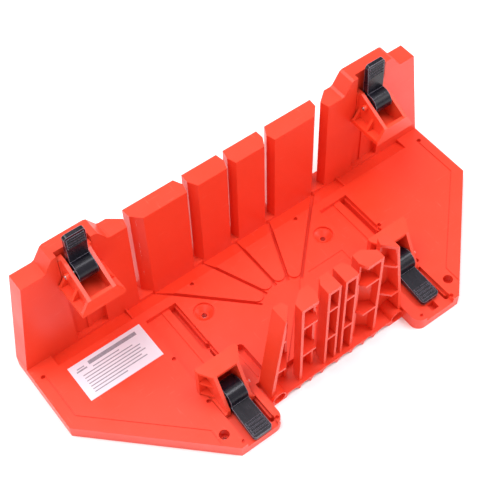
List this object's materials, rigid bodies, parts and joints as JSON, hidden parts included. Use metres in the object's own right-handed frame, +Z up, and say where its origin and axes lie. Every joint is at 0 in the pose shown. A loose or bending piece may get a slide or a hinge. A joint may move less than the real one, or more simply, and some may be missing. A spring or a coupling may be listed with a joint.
{
  "type": "clamping miter box",
  "caption": "Bench-top miter box with slotted fences that guide a hand saw at fixed angles and sliding cam clamps that hold the work against the deck and fence.",
  "frame": {"origin": "centre of the rectangle the box covers on the bench, at bench level", "axes": "+X along the fences to the right as the user sees them, +Y from the low front fence to the tall rear fence, +Z up"},
  "size_m": [0.35, 0.1483, 0.1298],
  "materials": {
    "body": "moulded orange-red ABS, semi-gloss",
    "clamp": "moulded orange-red ABS, semi-gloss",
    "lever": "black nylon, semi-gloss",
    "pin": "drawn steel",
    "label": "white vinyl sticker, plain"
  },
  "bodies": {
    "body": {"deck": "body", "rear_end_left": "body", "rear_panel_1": "body", "rear_panel_2": "body", "rear_panel_3": "body", "rear_panel_4": "body", "rear_end_right": "body", "front_post_1": "body", "front_post_2": "body", "front_post_3": "body", "front_post_4": "body", "front_post_5": "body", "front_post_6": "body", "label": "label"},
    "carrier_front_left": {"clamp_front_left": "clamp", "pin_front_left": "pin"},
    "carrier_front_right": {"clamp_front_right": "clamp", "pin_front_right": "pin"},
    "carrier_rear_left": {"clamp_rear_left": "clamp", "pin_rear_left": "pin"},
    "carrier_rear_right": {"clamp_rear_right": "clamp", "pin_rear_right": "pin"},
    "cam_front_left": {"lever_front_left": "lever"},
    "cam_front_right": {"lever_front_right": "lever"},
    "cam_rear_left": {"lever_rear_left": "lever"},
    "cam_rear_right": {"lever_rear_right": "lever"}
  },
  "joints": [
    {"name": "slide_front_left", "type": "slide", "parent": "body", "child": "carrier_front_left", "axis": [0, 1, 0], "range_m": [-0.008, 0.062]},
    {"name": "slide_front_right", "type": "slide", "parent": "body", "child": "carrier_front_right", "axis": [0, 1, 0], "range_m": [-0.018, 0.052]},
    {"name": "slide_rear_left", "type": "slide", "parent": "body", "child": "carrier_rear_left", "axis": [0, 0, -1], "range_m": [-0.006, 0.062]},
    {"name": "slide_rear_right", "type": "slide", "parent": "body", "child": "carrier_rear_right", "axis": [0, 0, -1], "range_m": [-0.016, 0.051]},
    {"name": "cam_front_left_pivot", "type": "hinge", "parent": "carrier_front_left", "child": "cam_front_left", "pos_m": [-0.0775, -0.0412, 0.019], "axis": [-1, 0, 0], "range_deg": [0, 95]},
    {"name": "cam_front_right_pivot", "type": "hinge", "parent": "carrier_front_right", "child": "cam_front_right", "pos_m": [0.0775, -0.0312, 0.019], "axis": [-1, 0, 0], "range_deg": [0, 95]},
    {"name": "cam_rear_left_pivot", "type": "hinge", "parent": "carrier_rear_left", "child": "cam_rear_left", "pos_m": [-0.1217, 0.052, 0.0956], "axis": [1, 0, 0], "range_deg": [-9, 86]},
    {"name": "cam_rear_right_pivot", "type": "hinge", "parent": "carrier_rear_right", "child": "cam_rear_right", "pos_m": [0.1217, 0.052, 0.0848], "axis": [1, 0, 0], "range_deg": [-4, 91]}
  ]
}
